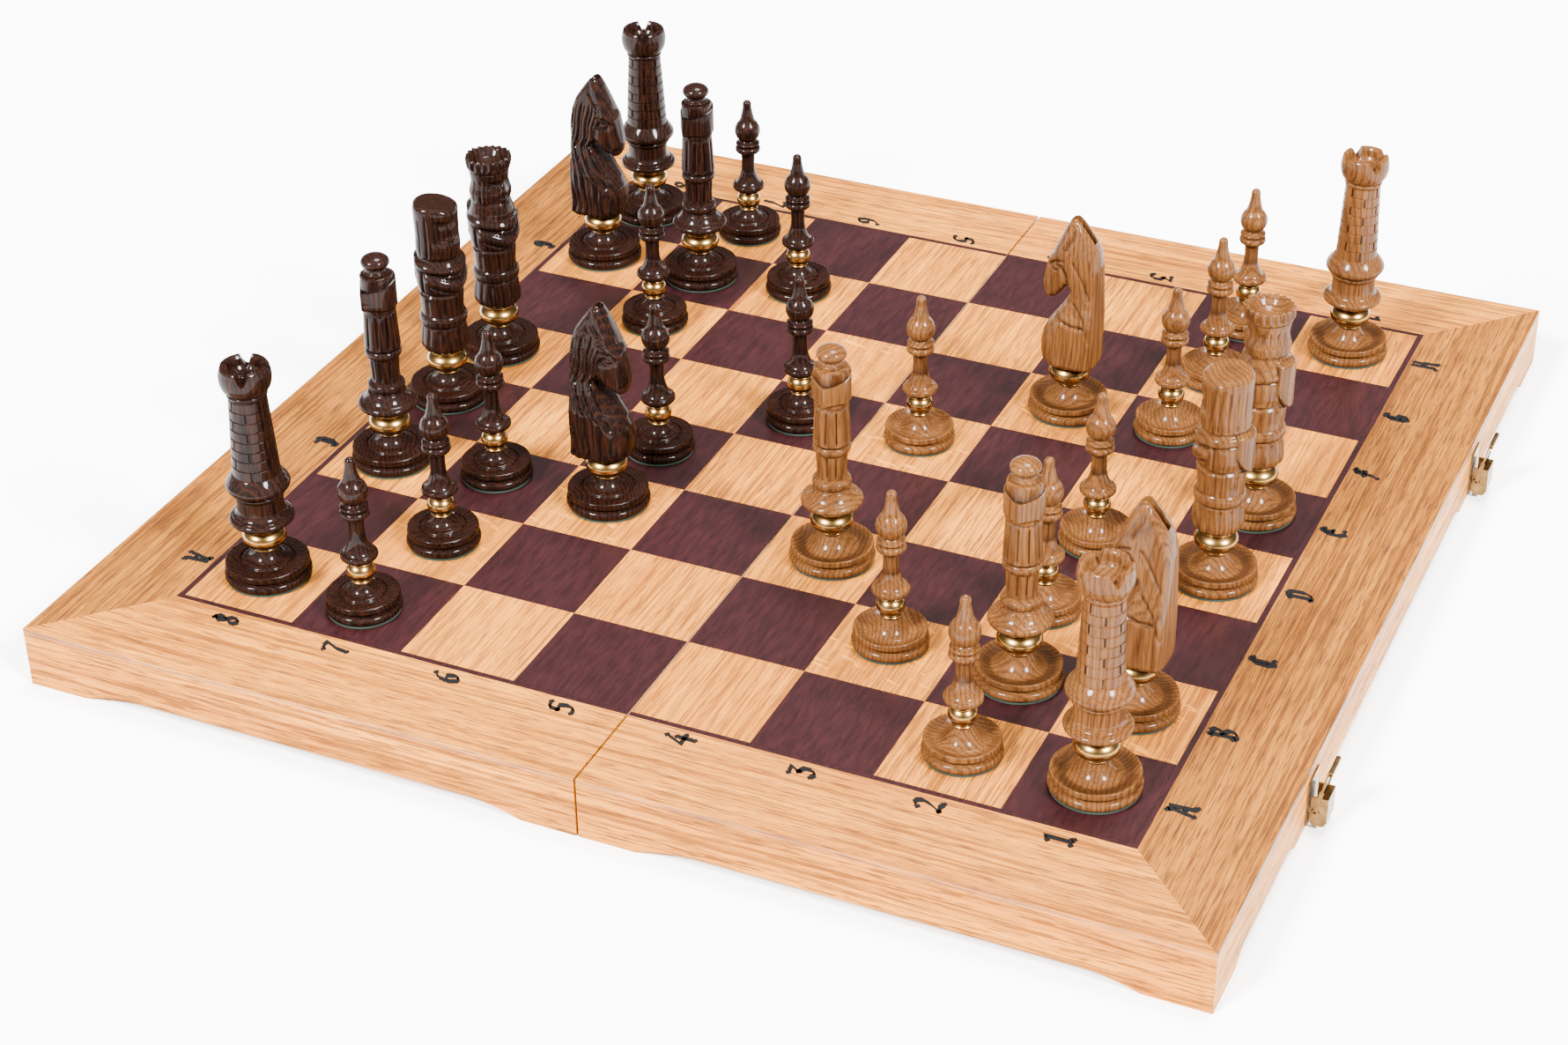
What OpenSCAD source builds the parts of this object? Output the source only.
// Folding chess box with its thirty-two men, set out in a game.
// Frame: z = 0 is the table, x = 0 is the fold line, +X is the latch end (White's side),
// +Y runs from file a to file h. Millimetres.

/* [Board] */
// Side of one square
square = 60; // [50:1:70]
// Width of the oak frame outside the border line
frame_w = 52; // [40:1:60]
// Width of the dark border line round the squares
border_w = 3; // [2:0.5:5]
// Height of each half of the box
board_h = 32; // [28:1:40]
// Thickness of the box walls
wall_t = 10; // [8:1:14]
// Thickness of the oak facings on the frame
facing_t = 3; // [2:0.5:5]
// Thickness of the square and border veneers
veneer_t = 0.8; // [0.6:0.1:1.5]
// Thickness of the plywood panel inside the walls
panel_t = 4; // [3:0.5:6]
// Open gap along the fold line
fold_gap = 1.2; // [0.8:0.1:2]

/* [Feet and arches] */
// Height of the long arches cut under the walls
arch_h = 5.5; // [3:0.5:8]
// Length over which the side arches rise to their full height
side_ease = 30; // [10:1:40]
// Length over which the end arches rise to their full height
end_ease = 14; // [6:1:20]
// Foot length at each outer corner
corner_foot = 31; // [20:1:45]
// Foot length of each half beside the fold line
fold_foot = 28; // [20:1:45]
// Foot length under each latch
latch_foot = 46; // [30:1:60]

/* [Hinges and latches] */
// Distance of each hinge from the middle of the fold line
hinge_y = 170; // [100:5:220]
// Length of one hinge leaf
hinge_len = 44; // [30:1:60]
// Radius of the hinge knuckles
knuckle_r = 1.1; // [0.9:0.1:1.1]
// Radius of the hinge pins
pin_r = 0.55; // [0.4:0.05:0.6]
// Place of the front latch along the end wall
latch_front_y = -154; // [-180:1:-120]
// Place of the back latch along the end wall
latch_back_y = 147; // [120:1:180]
// Width of the latch lever
lever_w = 12; // [10:0.5:16]
// Length of the latch hook from its pin to its tip
hook_len = 25; // [20:0.5:28]
// Lean of the hook away from the wall, in degrees
hook_lean = 11; // [6:1:14]

/* [Men] */
// Radius of a pawn's foot
pawn_r = 18.5; // [15:0.5:20]
// Radius of the other men's feet
man_r = 21.2; // [18:0.2:23]
// Thickness of the felt under each man
felt_t = 1; // [0.6:0.1:1.5]
// Height of the foot, up to the brass collar
foot_h = 16.5; // [15:0.5:18]
// Height of a larger man's brass collar
collar_h = 13.5; // [11:0.5:14]
// Height of a pawn's brass collar
pawn_collar_h = 11.5; // [9:0.5:12]
// Depth of the slots that make a rook's battlements
slot_depth = 6.5; // [5:0.5:9]
// Width of the slots that make a rook's battlements
slot_w = 5.2; // [4:0.2:7]

/* [Hidden] */
$fn = 48;
mil = 0.03;                            // glue line between the pieces of one man
seam = 0.06;                           // joint between veneers and between facings
half_board = 4 * square + border_w + frame_w;
field = 4 * square;                    // from the fold line to the border
inner = half_board - wall_t;           // inside faces of the outer walls
wall_h = board_h - facing_t;           // the facings lie on the walls
edge = fold_gap / 2;                   // each half starts this far from x = 0
leaf_t = 1.2;                          // thickness of a hinge leaf
leaf_w = 9;                            // width of a hinge leaf
run = 0.1;                             // clearance between moving metal pieces
knuckles = 5;                          // knuckles on one hinge
plate_t = 0.8;                         // sheet metal of the latches
pivot_x = 3.0;                         // lever pivot, out from the wall
pivot_z = 4.6;                         // lever pivot, above the table
hook_x = 3.8;                          // hook pin, out from the wall
hook_z = 9.0;                          // hook pin, above the table
pivot_r = 0.8;                         // latch rivets
screw_r = 1.0;                         // shanks of the hinge and latch screws
screw_len = 7.5;
head_t = 0.7;                          // depth of a countersunk head
light = "#d9a766";
dark = "#3a2119";
oak = "#dcb083";
burgundy = "#4a2a2c";
brass = "#c9a050";
felt = "#2f5a3c";

// The men: name, kind, side (1 light, -1 dark), file 1-8, rank 1-8, offset on the square in x and y
men = [
    ["white_rook_a", "rook", 1, 1, 1, 2, 1],
    ["white_knight_b", "knight", 1, 2, 1, -1, 2],
    ["white_bishop_c", "bishop", 1, 2, 2, 3, 3],
    ["white_queen", "queen", 1, 4, 1, 0, -2],
    ["white_king", "king", 1, 5, 1, 0, 3],
    ["white_bishop_f", "bishop", 1, 3, 4, 4, 2],
    ["white_knight_g", "knight", 1, 6, 3, 1, 2],
    ["white_rook_h", "rook", 1, 8, 1, -1, -1],
    ["white_pawn_a", "pawn", 1, 1, 2, 0, 0],
    ["white_pawn_b", "pawn", 1, 2, 3, -2, 6],
    ["white_pawn_c", "pawn", 1, 3, 2, -6, 1],
    ["white_pawn_d", "pawn", 1, 4, 2, -3, 6],
    ["white_pawn_e", "pawn", 1, 5, 4, 1, 2],
    ["white_pawn_f", "pawn", 1, 6, 2, -3, 1],
    ["white_pawn_g", "pawn", 1, 7, 2, 2, 2],
    ["white_pawn_h", "pawn", 1, 8, 2, 1, 3],
    ["black_rook_a", "rook", -1, 1, 8, -2, 1],
    ["black_knight_b", "knight", -1, 3, 6, 0, 5],
    ["black_bishop_c", "bishop", -1, 3, 8, -1, -2],
    ["black_queen", "queen", -1, 4, 8, -6, 6],
    ["black_king", "king", -1, 5, 8, -5, 1],
    ["black_bishop_f", "bishop", -1, 7, 7, -1, 0],
    ["black_knight_g", "knight", -1, 7, 8, -3, 1],
    ["black_rook_h", "rook", -1, 8, 8, -3, 0],
    ["black_pawn_a", "pawn", -1, 1, 7, -4, -6],
    ["black_pawn_b", "pawn", -1, 2, 7, 2, 0],
    ["black_pawn_c", "pawn", -1, 3, 7, -4, 5],
    ["black_pawn_d", "pawn", -1, 4, 6, 1, 1],
    ["black_pawn_e", "pawn", -1, 5, 5, -4, -3],
    ["black_pawn_f", "pawn", -1, 6, 7, -1, 1],
    ["black_pawn_g", "pawn", -1, 7, 6, -3, 6],
    ["black_pawn_h", "pawn", -1, 8, 7, 2, -1],
];
sides = ["white", "black"];
half_parts = ["panel", "light_squares", "dark_inlay", "frame", "side_walls", "end_wall", "spine_wall"];

// ---------- curves for turned and cut outlines ----------

// Points on an ellipse about c with radii r, from angle a to angle b
function arc(c, r, a, b, n = 6) =
    [for (i = [0:n]) let (t = a + (b - a) * i / n) [c[0] + r[0] * cos(t), c[1] + r[1] * sin(t)]];

// Hollow curve from p to q: its height lags its radius by the power k
function cove(p, q, k = 2.4, n = 6) =
    [for (i = [0:n]) let (t = i / n) [p[0] + (q[0] - p[0]) * t, p[1] + (q[1] - p[1]) * pow(t, k)]];

// ---------- the two halves of the box, drawn as the +X half ----------

module half(side) mirror([side == "black" ? 1 : 0, 0, 0]) children();

// Square of the board at file f and rank-step i from the fold line, true when it is dark
function is_dark(side, i, f) = (i + f + (side == "white" ? 1 : 0)) % 2 == 0;

module panel(side) half(side) color(oak) {
    translate([edge + wall_t, -inner, wall_h - panel_t]) cube([inner - edge - wall_t, 2 * inner, panel_t]);
    translate([edge, -field - border_w, wall_h])
        cube([field + border_w - edge, 2 * (field + border_w), facing_t - veneer_t]);
}

module squares(side, dark_ones) half(side)
    for (i = [0:3], f = [0:7]) if (is_dark(side, i, f) == dark_ones) {
        x0 = i == 0 ? edge : i * square + seam / 2;
        translate([x0, (f - 4) * square + seam / 2, board_h - veneer_t])
            cube([(i + 1) * square - seam / 2 - x0, square - seam, veneer_t]);
    }

module light_squares(side) color(oak) squares(side, false);

module dark_inlay(side) color(burgundy) {
    squares(side, true);
    half(side) translate([0, 0, board_h - veneer_t]) {
        for (s = [-1, 1]) translate([edge, s * (field + border_w / 2 + seam / 2), 0])
            translate([0, -border_w / 2 + seam / 2, 0]) cube([field - edge, border_w - seam, veneer_t]);
        translate([field + seam, -field - border_w, 0])
            cube([border_w - seam, 2 * (field + border_w), veneer_t]);
    }
}

// Mitred ring of boards from r_in to r_out, cut at the fold line: 0 front, 1 back, 2 end
module board_ring(which, r_in, r_out, h) linear_extrude(h)
    if (which == 2)
        polygon([[r_in, -r_in + seam], [r_out, -r_out + seam], [r_out, r_out - seam], [r_in, r_in - seam]]);
    else mirror([0, 1 - which, 0])
        polygon([[edge, r_in], [r_in, r_in], [r_out, r_out], [edge, r_out]]);

module frame(side) half(side) color(oak) translate([0, 0, wall_h])
    for (w = [0:2]) board_ring(w, field + border_w, half_board, facing_t);

// Outline of an arch from a to b along a wall's lower edge, eased at both ends
module arch(a, b, ease) polygon(concat(
    [[a, -1]], [for (i = [0:5]) let (t = i / 5) [a + ease * t, arch_h * (1 - pow(1 - t, 2))]],
    [for (i = [5:-1:0]) let (t = i / 5) [b - ease * t, arch_h * (1 - pow(1 - t, 2))]], [[b, -1]]));

// The arch runs right through a wall that is wall_t thick, centred on y
module side_arch(y) translate([0, y + wall_t, 0]) rotate([90, 0, 0])
    linear_extrude(2 * wall_t) arch(edge + fold_foot, half_board - corner_foot, side_ease);

module side_walls(side) half(side) color(oak) difference() {
    for (w = [0:1]) board_ring(w, inner, half_board, wall_h);
    for (s = [-1, 1]) side_arch(s * (inner + wall_t / 2));
}

// Feet of the end wall stand at its corners and under the latches
function end_arches() = let (f = latch_foot / 2, c = half_board - corner_foot) [
    [-c, latch_front_y - f], [latch_front_y + f, latch_back_y - f], [latch_back_y + f, c]];

module end_wall(side) half(side) color(oak) difference() {
    board_ring(2, inner, half_board, wall_h);
    for (a = end_arches()) translate([inner - wall_t / 2, 0, 0]) rotate([90, 0, 90])
        linear_extrude(2 * wall_t) arch(a[0], a[1], end_ease);
    if (side == "white") at_latch_screws() screw_hole();
    else at_catch_screws() screw_hole();
}

module spine_wall(side) half(side) color(oak) difference() {
    translate([edge, -inner, 0]) cube([wall_t, 2 * inner, wall_h]);
    for (s = [-1, 1]) translate([0, s * hinge_y, 0]) {
        translate([0, -hinge_len / 2 - run, -1]) cube([edge + leaf_w + run, hinge_len + 2 * run, leaf_t + 1]);
        rotate([90, 0, 0]) cylinder(r = knuckle_r + 0.4, h = hinge_len + 4 * run, center = true);
    }
    at_hinge_screws() screw_hole();
}

// ---------- countersunk wood screws, driven along +Z from a head flush with z = 0 ----------

module screw() {
    cylinder(r1 = 1.9, r2 = screw_r, h = head_t);
    cylinder(r = screw_r, h = screw_len - 1);
    translate([0, 0, screw_len - 1]) cylinder(r1 = screw_r, r2 = 0.3, h = 1);
}

module screw_hole() {
    translate([0, 0, -head_t]) cylinder(r1 = 3.0, r2 = screw_r + 0.05, h = 2 * head_t + 0.05);
    cylinder(r = screw_r + 0.05, h = screw_len + 0.2);
}

module at_hinge_screws() for (s = [-1, 1], y = [-1, 1])
    translate([5.6, s * hinge_y + y * 14, 0]) children();

module at_latch_screws() for (y = [latch_front_y, latch_back_y], h = [[0, 21.5], [-4, 11.5], [4, 11.5]])
    translate([half_board + plate_t, y + h[0], h[1]]) rotate([0, -90, 0]) children();

module at_catch_screws() for (y = [latch_front_y, latch_back_y], h = [[-4.5, 19], [4.5, 19]])
    translate([half_board + plate_t, y + h[0], h[1]]) rotate([0, -90, 0]) children();

// ---------- hinges: knuckles on the fold line, leaves let into the spine walls ----------

module hinge_half(side) for (s = [-1, 1]) translate([0, s * hinge_y - hinge_len / 2, 0]) {
    own = side == "white" ? 0 : 1;
    pitch = hinge_len / knuckles;
    half(side) difference() {
        translate([knuckle_r + run, 0, 0]) cube([edge + leaf_w - knuckle_r - run, hinge_len, leaf_t]);
        translate([0, hinge_len / 2 - s * hinge_y, 0]) at_hinge_screws() screw_hole();
    }
    for (k = [0:knuckles - 1]) if (k % 2 == own) translate([0, k * pitch + run / 2, 0]) {
        difference() {
            union() {
                rotate([-90, 0, 0]) cylinder(r = knuckle_r, h = pitch - run);
                half(side) cube([knuckle_r + 0.4, pitch - run, knuckle_r]);
            }
            translate([0, -1, 0]) rotate([-90, 0, 0]) cylinder(r = pin_r + 0.05, h = pitch + 2);
        }
    }
}

module hinge_leaves_white() color(brass) hinge_half("white");
module hinge_leaves_black() color(brass) hinge_half("black");

module hinge_pins() color(brass) for (s = [-1, 1])
    translate([0, s * hinge_y - hinge_len / 2 + 0.2, 0]) rotate([-90, 0, 0])
        cylinder(r = pin_r, h = hinge_len - 0.4);

// ---------- latches on White's end wall, catches on Black's ----------

module at_latches() for (y = [latch_front_y, latch_back_y]) translate([half_board, y, 0]) children();

// Sheet in the xz plane, t thick along y from y0
module sheet(y0, t) translate([0, y0 + t, 0]) rotate([90, 0, 0]) linear_extrude(t) children();

module latch_plate() {
    translate([0, -8, 2]) cube([plate_t, 16, 23]);
    for (s = [-1, 1]) sheet(s > 0 ? 3.4 : -3.4 - plate_t, plate_t) difference() {
        union() {
            translate([0, 2.6]) square([pivot_x, 4]);
            translate([pivot_x, pivot_z]) circle(r = 2);
        }
        translate([pivot_x, pivot_z]) circle(r = pivot_r + 0.06);
    }
}

module latch_plates() color(brass) difference() {
    at_latches() latch_plate();
    at_latch_screws() screw_hole();
}

// Channel-shaped lever: two cheeks, a web across their outer edge and a lip at the top
module lever() {
    for (s = [-1, 1]) sheet(s > 0 ? lever_w / 2 - plate_t : -lever_w / 2, plate_t) {
        translate([1.6, 4.4]) square([7.4, 13]);
        translate([4.2, 4.4]) circle(r = 2.6);
        translate([6.4, 4.4]) circle(r = 2.6);
    }
    translate([8.6, -lever_w / 2, 4.4]) cube([plate_t, lever_w, 13]);
    translate([6.6, -lever_w / 2 + plate_t, 16.6]) cube([2.2, lever_w - 2 * plate_t, plate_t]);
    translate([pivot_x, 0, pivot_z]) rotate([90, 0, 0])
        cylinder(r = pivot_r, h = lever_w - 2 * plate_t + 0.2, center = true);
    translate([hook_x, 0, hook_z]) rotate([90, 0, 0])
        cylinder(r = pivot_r, h = lever_w + 3.4, center = true);
}

// Hook plate: two arms outside the lever and a tongue with a rolled tip, lying along +Z from its pin
module hook() translate([hook_x, 0, hook_z]) rotate([0, hook_lean, 0]) {
    for (s = [-1, 1]) sheet(s > 0 ? lever_w / 2 + run : -lever_w / 2 - run - plate_t, plate_t)
        difference() {
            union() {
                circle(r = 1.9);
                translate([-1, 0]) square([2, 13]);
            }
            circle(r = pivot_r + 0.06);
        }
    tongue_w = lever_w + 2 * run + 2 * plate_t;
    difference() {
        union() {
            translate([-0.4, -tongue_w / 2, 11.4]) cube([plate_t, tongue_w, hook_len - 12.6]);
            translate([0.8, 0, hook_len - 1.3]) rotate([90, 0, 0]) cylinder(r = 1.3, h = tongue_w, center = true);
        }
        translate([0.9, 0, hook_len - 1.4]) rotate([90, 0, 0]) cylinder(r = 0.6, h = tongue_w + 2, center = true);
    }
}

module latch_lever_front() color(brass) translate([half_board, latch_front_y, 0]) lever();
module latch_lever_back() color(brass) translate([half_board, latch_back_y, 0]) lever();
module latch_hook_front() color(brass) translate([half_board, latch_front_y, 0]) hook();
module latch_hook_back() color(brass) translate([half_board, latch_back_y, 0]) hook();

// The catches face the latches when the box is shut
module catch_plates() color(brass) half("black") difference() {
    at_latches() {
        translate([0, -8, 9]) cube([plate_t, 16, 14]);
        translate([0, -6, 9]) cube([3.4, 12, plate_t]);
        translate([3.4 - plate_t, -6, 9]) cube([plate_t, 12, 3.2]);
    }
    at_catch_screws() screw_hole();
}

module white_screws() color(brass) {
    at_hinge_screws() screw();
    at_latch_screws() screw();
}

module black_screws() color(brass) half("black") {
    at_hinge_screws() screw();
    at_catch_screws() screw();
}

// ---------- turned pieces of the men ----------

module turned(points) rotate_extrude() polygon(points);

// Foot: rounded lower disc, groove, upper disc and a hollow cone up to the neck
module foot(r, neck) turned(concat(
    [[0, felt_t + mil]], arc([r - 1.8, 3.3], [1.8, 3.3 - felt_t - mil], -90, 0, 4),
    arc([r - 1.8, 3.3], [1.8, 2.2], 15, 75, 4), [[r - 2.6, 6.0], [r - 1.1, 7.1]],
    [[r - 0.7, 7.7], [r - 0.7, 9.8], [r - 1.2, 10.4]],
    cove([r - 1.6, 10.5], [neck, foot_h], 2.6, 8), [[0, foot_h]]));

// Brass collar: a lip, a flattened ball and a top lip
module collar(lip, belly, tall) translate([0, 0, foot_h + mil]) turned(concat(
    [[0, 0]], arc([lip - 0.4, 0.7], [0.6, 0.7], -90, 90, 4),
    arc([0, tall * 0.47 + 0.6], [belly, tall * 0.49], -52, 50, 10),
    arc([belly * 0.7, tall - 0.8], [0.9, 0.7], -60, 90, 4), [[0, tall - mil]]));

module man_foot(side, r, neck) {
    color(felt) cylinder(r = r - 0.9, h = felt_t);
    color(side > 0 ? light : dark) foot(r, neck);
}

body_z = foot_h + collar_h + mil;
pawn_z = foot_h + pawn_collar_h + mil;

module pawn_body() turned(concat(
    [[0, pawn_z]], arc([6.4, 31.2], [2.7, 31.2 - pawn_z], -90, 0), [[9.0, 32.2]],
    cove([8.6, 32.8], [3.9, 41.5], 2.2), [[3.7, 46], [3.9, 52], [5.4, 52.6]],
    arc([5.6, 54.7], [1.6, 1.9], -80, 80), [[4.9, 57.0]], arc([5.6, 58.2], [1.3, 1.0], -80, 80, 4),
    arc([0, 66.2], [7.3, 7.4], -52, 42, 10), cove([5.1, 71.6], [2.5, 80.5], 1.7),
    arc([0, 82.3], [2.5, 2.5], 0, 90, 5)));

module rook_body() difference() {
    turned(concat(
        [[0, body_z], [8.8, body_z], [9.2, 31.6]], arc([12.2, 34.4], [3.3, 2.3], -88, 60),
        cove([13.2, 36.8], [11.3, 39.8], 2), [[11.2, 46.5]], arc([11.4, 48.6], [1.4, 1.3], -70, 60, 4),
        arc([12.6, 53.2], [2.6, 2.9], -70, 30, 5), [[14.4, 56.0], [11.0, 59.8], [10.9, 60.4]],
        [[9.0, 101], [9.4, 102.4]], arc([9.0, 112.6], [3.5, 8.6], -75, 35, 7),
        [[10.6, 118.0], [9.2, 117.6], [8.2, 112], [6.4, 109.4], [0, 108.8]]));
    for (a = [22, 112]) rotate(a) translate([0, 0, 118.2 - slot_depth + slot_w / 2]) {
        translate([-20, -slot_w / 2, 0]) cube([40, slot_w, 20]);
        rotate([0, 90, 0]) cylinder(r = slot_w / 2, h = 40, center = true);
    }
}

module bishop_body() difference() {
    turned(concat(
        [[0, body_z], [8.4, body_z], [8.8, 31.2]], arc([11.6, 34.6], [3.6, 2.9], -88, 0), [[15.1, 35.4]],
        cove([14.5, 36.2], [9.4, 42], 1.8), [[8.6, 42.6]], arc([8.2, 45.2], [1.3, 2.2], -80, 80, 5),
        [[7.6, 48.6], [7.2, 55], [7.8, 62]], arc([7.6, 64.5], [1.6, 2.2], -80, 80, 5),
        [[9.2, 68], [8.2, 88], [7.6, 89], [9.4, 91]], [[10.0, 94], [9.8, 104], [9.0, 108]],
        [[6.4, 110], [5.4, 111]], arc([0, 114.8], [7.3, 4.2], -45, 90, 8)));
    translate([8, -20, 106.6]) rotate([0, -18, 0]) translate([-3, 0, 0]) cube([12, 40, 12]);
}

// Carved figure shared by queen and king: skirt, belt, trunk and shoulders with a back veil
function figure_points() = concat(
    [[0, body_z + mil], [8.2, body_z + mil], [10.0, 30.8]], arc([8.6, 35.6], [4.0, 4.6], -60, 0),
    [[11.4, 45.8]], arc([10.9, 49.2], [1.4, 3.0], -75, 75, 5), [[11.2, 53.4], [11.6, 65], [11.0, 66.2]],
    [[12.6, 68], [13.2, 76], [12.4, 82.6], [10.6, 84.4], [10.2, 86.4]]);

module veil(side) translate([side * 10.5, 0, 66]) {
    cylinder(r = 7, h = 24);
    sphere(r = 7);
}

module queen_body(side) difference() {
    union() {
        turned(concat(figure_points(), [[11.6, 88.4], [12.2, 95], [12.3, 112], [11.6, 117.4], [0, 117.4]]));
        veil(side);
    }
    translate([0, 0, 115.6]) rotate([0, side * 8, 0]) translate([-30, -30, 0]) cube([60, 60, 20]);
}

module king_body(side) difference() {
    union() {
        turned(concat(figure_points(), [[11.2, 89], [11.6, 94.5], [10.2, 101], [10.6, 107]],
            [[12.2, 114.6], [11.8, 118.2], [10.0, 117.6], [6.4, 114.6], [0, 113.6]]));
        veil(side);
    }
    for (a = [0:22.5:337.5]) rotate(a) translate([11.4, 0, 119.0]) rotate([0, 90, 0])
        cylinder(r = 1.3, h = 5, center = true);
}

// Side view of the horse: f forwards, z up
module horse_outline() polygon([
    [12.8, body_z], [14.4, 32.2], [15.3, 36], [15.3, 42], [14.3, 47.5], [11.9, 52.8], [8.4, 57.8], [4.8, 62.8],
    [1.8, 68.0], [-0.4, 72.6], [0.4, 75.0], [2.6, 74.2], [5.0, 70.6], [8.0, 67.2], [10.4, 65.9], [12.8, 66.6],
    [14.8, 69.6], [15.5, 74.2], [14.6, 80.2], [13.6, 86], [12.6, 90.4], [10.4, 93.4], [9.0, 97], [6.6, 102.6],
    [4.2, 108], [1.6, 112.6], [-0.8, 113.6], [-3.2, 112.0], [-7.4, 106.4], [-11.6, 100.4], [-13.9, 94.6],
    [-15.2, 87], [-15.6, 75], [-15.6, 50], [-15.5, 33], [-14.4, body_z]]);

// Front view of the horse: half-width across, z up
module horse_front() polygon(let (w = [[12.4, body_z - 1], [13.4, 34], [13.0, 56], [10.6, 66], [9.2, 75],
        [8.4, 92], [7.2, 100], [5.2, 113.8]])
    concat([for (p = w) p], [for (i = [len(w) - 1:-1:0]) [-w[i][0], w[i][1]]]));

module knight_body(side) rotate(side > 0 ? 180 : 0) difference() {
    intersection() {
        translate([0, 20, 0]) rotate([90, 0, 0]) linear_extrude(40) horse_outline();
        translate([-30, 0, 0]) rotate([90, 0, 90]) linear_extrude(60) horse_front();
        cylinder(r = 17.6, h = 130);
    }
    translate([-5.6, 0, 108.2]) rotate([0, 47, 0]) cube([6, 4, 16], center = true);
}

module man_body(kind, side) {
    if (kind == "pawn") pawn_body();
    if (kind == "rook") rook_body();
    if (kind == "bishop") bishop_body();
    if (kind == "queen") queen_body(side);
    if (kind == "king") king_body(side);
    if (kind == "knight") knight_body(side);
}

module man(m) translate([(4.5 - m[4]) * square + m[5], (m[3] - 4.5) * square + m[6], board_h]) {
    is_pawn = m[1] == "pawn";
    man_foot(m[2], is_pawn ? pawn_r : man_r, is_pawn ? 4.2 : 5.4);
    color(brass) collar(is_pawn ? 4.6 : 5.9, is_pawn ? 6.9 : 10.8, is_pawn ? pawn_collar_h : collar_h);
    color(m[2] > 0 ? light : dark) man_body(m[1], m[2]);
}

for (s = sides) {
    panel(s);
    light_squares(s);
    dark_inlay(s);
    frame(s);
    side_walls(s);
    end_wall(s);
    spine_wall(s);
}
hinge_leaves_white();
hinge_leaves_black();
hinge_pins();
white_screws();
black_screws();
latch_plates();
latch_lever_front();
latch_lever_back();
latch_hook_front();
latch_hook_back();
catch_plates();
for (m = men) man(m);
